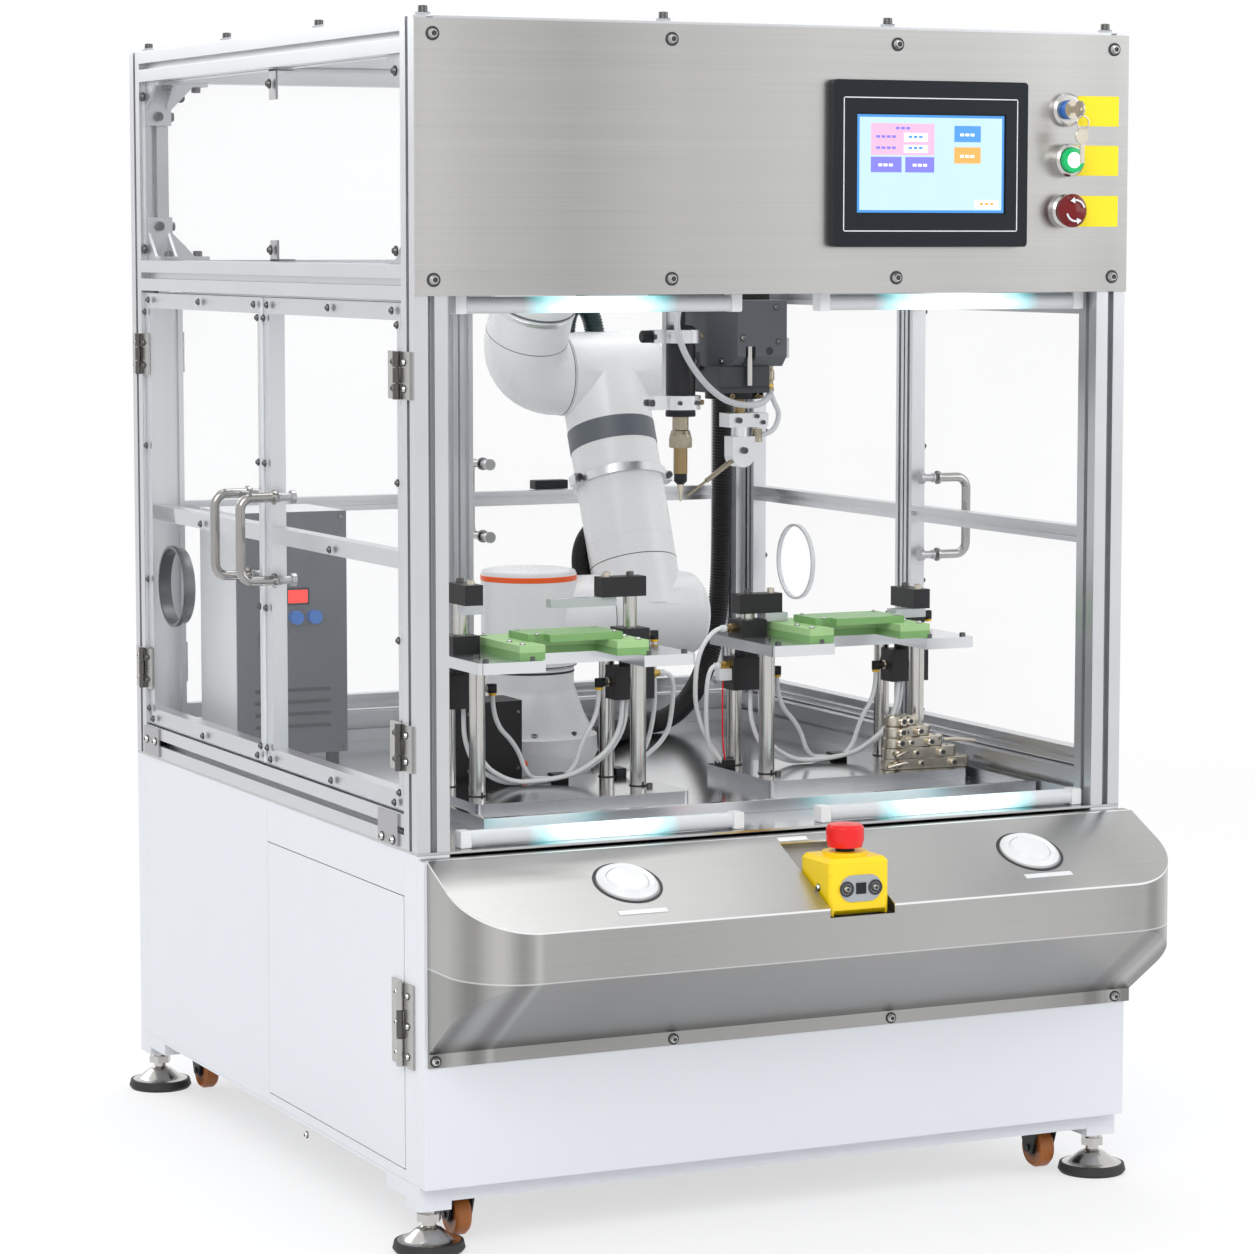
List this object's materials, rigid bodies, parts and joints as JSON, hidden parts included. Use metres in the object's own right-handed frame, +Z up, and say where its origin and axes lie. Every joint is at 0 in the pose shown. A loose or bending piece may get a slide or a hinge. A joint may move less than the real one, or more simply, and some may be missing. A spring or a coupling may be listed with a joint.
{
  "type": "soldering robot cell",
  "caption": "Floor standing automatic soldering cell with clear doors, an articulated arm with iron and wire feeder, board fixtures, touch screen and sloped start console.",
  "frame": {"origin": "on the floor under the middle of the whole machine's outline", "axes": "+X to the right seen from the operator, +Y from the operator to the back, +Z up"},
  "size_m": [1.032, 1.211, 1.403],
  "materials": {
    "white_enamel": "smooth powder coat",
    "brushed_steel": "brushed along its length",
    "anodised_profile": "satin anodised",
    "cast_bracket": "cast, lightly blasted",
    "clear_pane": "clear sheet with polished edges",
    "black_bezel": "fine matt",
    "switch_metal": "bright plated",
    "yellow_plastic": "semi gloss",
    "white_diffuser": "satin diffuser",
    "ground_steel": "ground and polished",
    "green_laminate": "woven glass laminate",
    "black_anodised": "black anodised",
    "dark_grey_case": "fine textured coat",
    "white_casting": "smooth paint",
    "black_hose": "corrugated",
    "white_tube": "smooth tube",
    "black_steel": "black coated",
    "nickel_plate": "nickel plated",
    "machined_aluminium": "machined",
    "black_handle": "moulded",
    "blue_rotor": "moulded",
    "green_lens": "lit lens",
    "red_plastic": "moulded",
    "white_plastic": "moulded",
    "amber_wheel": "cast polyurethane",
    "foot_rubber": "moulded"
  },
  "bodies": {
    "cabinet": {"air_tubes": "white_tube", "board_carriers": "green_laminate", "cabinet_base": "white_enamel", "cabinet_shell": "white_enamel", "cable_conduit": "black_hose", "caster_forks": "black_steel", "clamp_cylinders": "black_anodised", "console_cover": "brushed_steel", "controllers": "dark_grey_case", "corner_brackets": "cast_bracket", "fascia_panel": "brushed_steel", "fixture_stands": "ground_steel", "frame_profiles": "anodised_profile", "light_bars": "white_diffuser", "robot_base": "white_casting", "spare_levers": "nickel_plate", "stop_box": "yellow_plastic", "switch_bezels": "switch_metal", "table_top": "brushed_steel", "touchscreen": "black_bezel", "window_panels": "clear_pane"},
    "caster_wheel_front_left": {"caster_wheel_front_left": "amber_wheel"},
    "caster_wheel_front_right": {"caster_wheel_front_right": "amber_wheel"},
    "caster_wheel_back_left": {"caster_wheel_back_left": "amber_wheel"},
    "caster_wheel_back_right": {"caster_wheel_back_right": "amber_wheel"},
    "levelling_foot_front_left": {"levelling_foot_front_left": "foot_rubber"},
    "levelling_foot_front_right": {"levelling_foot_front_right": "foot_rubber"},
    "levelling_foot_back_left": {"levelling_foot_back_left": "foot_rubber"},
    "levelling_foot_back_right": {"levelling_foot_back_right": "foot_rubber"},
    "left_front_leaf": {"left_front_door": "anodised_profile", "left_front_pane": "clear_pane"},
    "left_rear_leaf": {"left_rear_door": "anodised_profile", "left_rear_pane": "clear_pane"},
    "right_front_leaf": {"right_front_door": "anodised_profile", "right_front_pane": "clear_pane"},
    "right_rear_leaf": {"right_rear_door": "anodised_profile", "right_rear_pane": "clear_pane"},
    "back_left_leaf": {"back_left_door": "anodised_profile", "back_left_pane": "clear_pane"},
    "back_right_leaf": {"back_right_door": "anodised_profile", "back_right_pane": "clear_pane"},
    "service_door_leaf": {"service_door": "white_enamel"},
    "robot_shoulder": {"robot_shoulder": "white_casting"},
    "robot_upper_arm": {"robot_upper_arm": "white_casting"},
    "robot_forearm": {"robot_forearm": "white_casting"},
    "robot_wrist_1": {"robot_wrist_1": "white_casting"},
    "robot_wrist_2": {"robot_wrist_2": "white_casting"},
    "soldering_tool": {"tool_bracket": "machined_aluminium", "soldering_iron": "black_handle", "wire_feeder": "dark_grey_case"},
    "clamp_arm_left_outer": {"clamp_arm_left_outer": "black_anodised"},
    "clamp_arm_left_inner": {"clamp_arm_left_inner": "black_anodised"},
    "clamp_arm_right_outer": {"clamp_arm_right_outer": "black_anodised"},
    "clamp_arm_right_inner": {"clamp_arm_right_inner": "black_anodised"},
    "power_key": {"power_key": "blue_rotor"},
    "run_button": {"run_button": "green_lens"},
    "panel_stop": {"panel_stop": "red_plastic"},
    "box_stop": {"box_stop": "red_plastic"},
    "left_start_button": {"left_start_button": "white_plastic"},
    "right_start_button": {"right_start_button": "white_plastic"}
  },
  "joints": [
    {"name": "caster_wheel_front_left_spin", "type": "hinge", "parent": "cabinet", "child": "caster_wheel_front_left", "pos_m": [-0.393, -0.3835, 0.028], "axis": [1, 0, 0], "continuous": true},
    {"name": "caster_wheel_front_right_spin", "type": "hinge", "parent": "cabinet", "child": "caster_wheel_front_right", "pos_m": [0.393, -0.3835, 0.028], "axis": [1, 0, 0], "continuous": true},
    {"name": "caster_wheel_back_left_spin", "type": "hinge", "parent": "cabinet", "child": "caster_wheel_back_left", "pos_m": [-0.393, 0.4925, 0.028], "axis": [1, 0, 0], "continuous": true},
    {"name": "caster_wheel_back_right_spin", "type": "hinge", "parent": "cabinet", "child": "caster_wheel_back_right", "pos_m": [0.393, 0.4925, 0.028], "axis": [1, 0, 0], "continuous": true},
    {"name": "levelling_foot_front_left_travel", "type": "slide", "parent": "cabinet", "child": "levelling_foot_front_left", "axis": [0, 0, 1], "range_m": [-0.015, 0]},
    {"name": "levelling_foot_front_right_travel", "type": "slide", "parent": "cabinet", "child": "levelling_foot_front_right", "axis": [0, 0, 1], "range_m": [-0.015, 0]},
    {"name": "levelling_foot_back_left_travel", "type": "slide", "parent": "cabinet", "child": "levelling_foot_back_left", "axis": [0, 0, 1], "range_m": [-0.015, 0]},
    {"name": "levelling_foot_back_right_travel", "type": "slide", "parent": "cabinet", "child": "levelling_foot_back_right", "axis": [0, 0, 1], "range_m": [-0.015, 0]},
    {"name": "left_front_door_swing", "type": "hinge", "parent": "cabinet", "child": "left_front_leaf", "pos_m": [-0.47, -0.4045, 0.76], "axis": [0, 0, 1], "range_deg": [0, 110]},
    {"name": "left_rear_door_swing", "type": "hinge", "parent": "cabinet", "child": "left_rear_leaf", "pos_m": [-0.47, 0.5135, 0.76], "axis": [0, 0, 1], "range_deg": [-110, 0]},
    {"name": "right_front_door_swing", "type": "hinge", "parent": "cabinet", "child": "right_front_leaf", "pos_m": [0.47, -0.4045, 0.76], "axis": [0, 0, 1], "range_deg": [-110, 0]},
    {"name": "right_rear_door_swing", "type": "hinge", "parent": "cabinet", "child": "right_rear_leaf", "pos_m": [0.47, 0.5135, 0.76], "axis": [0, 0, 1], "range_deg": [0, 110]},
    {"name": "back_left_door_swing", "type": "hinge", "parent": "cabinet", "child": "back_left_leaf", "pos_m": [-0.424, 0.5595, 0.76], "axis": [0, 0, 1], "range_deg": [0, 110]},
    {"name": "back_right_door_swing", "type": "hinge", "parent": "cabinet", "child": "back_right_leaf", "pos_m": [0.424, 0.5595, 0.76], "axis": [0, 0, 1], "range_deg": [-110, 0]},
    {"name": "service_door_swing", "type": "hinge", "parent": "cabinet", "child": "service_door_leaf", "pos_m": [-0.47, -0.4045, 0.26], "axis": [0, 0, 1], "range_deg": [0, 110]},
    {"name": "base_turn", "type": "hinge", "parent": "cabinet", "child": "robot_shoulder", "pos_m": [-0.059, 0.1595, 0.598], "axis": [0, 0, 1], "range_deg": [-20, 25]},
    {"name": "shoulder_turn", "type": "hinge", "parent": "robot_shoulder", "child": "robot_upper_arm", "pos_m": [0.045, 0.1595, 0.658], "axis": [1, 0, 0], "range_deg": [-8, 12]},
    {"name": "elbow_turn", "type": "hinge", "parent": "robot_upper_arm", "child": "robot_forearm", "pos_m": [0.045, 0.28687, 0.97324], "axis": [1, 0, 0], "range_deg": [-12, 5]},
    {"name": "wrist_1_turn", "type": "hinge", "parent": "robot_forearm", "child": "robot_wrist_1", "pos_m": [0.032, 0.13687, 1.23305], "axis": [1, 0, 0], "range_deg": [-15, 15]},
    {"name": "wrist_2_turn", "type": "hinge", "parent": "robot_wrist_1", "child": "robot_wrist_2", "pos_m": [0.112, 0.08687, 1.23305], "axis": [0, 1, 0], "range_deg": [-15, 15]},
    {"name": "flange_turn", "type": "hinge", "parent": "robot_wrist_2", "child": "soldering_tool", "pos_m": [0.112, 0.01887, 1.15505], "axis": [0, 0, 1], "range_deg": [-60, 35]},
    {"name": "clamp_left_outer_swing", "type": "hinge", "parent": "cabinet", "child": "clamp_arm_left_outer", "pos_m": [-0.257, -0.0795, 0.647], "axis": [0, 0, 1], "range_deg": [0, 90]},
    {"name": "clamp_left_inner_swing", "type": "hinge", "parent": "cabinet", "child": "clamp_arm_left_inner", "pos_m": [-0.026, -0.0795, 0.647], "axis": [0, 0, 1], "range_deg": [0, 90]},
    {"name": "clamp_right_outer_lift", "type": "slide", "parent": "cabinet", "child": "clamp_arm_right_outer", "axis": [0, 0, 1], "range_m": [0, 0.032]},
    {"name": "clamp_right_inner_lift", "type": "slide", "parent": "cabinet", "child": "clamp_arm_right_inner", "axis": [0, 0, 1], "range_m": [0, 0.032]},
    {"name": "power_key_turn", "type": "hinge", "parent": "cabinet", "child": "power_key", "pos_m": [0.376, -0.4555, 1.307], "axis": [0, -1, 0], "range_deg": [-90, 0]},
    {"name": "run_button_press", "type": "slide", "parent": "cabinet", "child": "run_button", "axis": [0, 1, 0], "range_m": [0, 0.004], "stiffness_N_per_m": 400, "springref_m": -0.001},
    {"name": "panel_stop_press", "type": "slide", "parent": "cabinet", "child": "panel_stop", "axis": [0, 1, 0], "range_m": [0, 0.004], "stiffness_N_per_m": 800, "springref_m": -0.001},
    {"name": "box_stop_press", "type": "slide", "parent": "cabinet", "child": "box_stop", "axis": [0, 0, -1], "range_m": [0, 0.004], "stiffness_N_per_m": 800, "springref_m": -0.002},
    {"name": "left_start_press", "type": "slide", "parent": "cabinet", "child": "left_start_button", "axis": [0, 0.4158, -0.9095], "range_m": [0, 0.004], "stiffness_N_per_m": 500, "springref_m": -0.003},
    {"name": "right_start_press", "type": "slide", "parent": "cabinet", "child": "right_start_button", "axis": [0, 0.4158, -0.9095], "range_m": [0, 0.004], "stiffness_N_per_m": 500, "springref_m": -0.003}
  ]
}
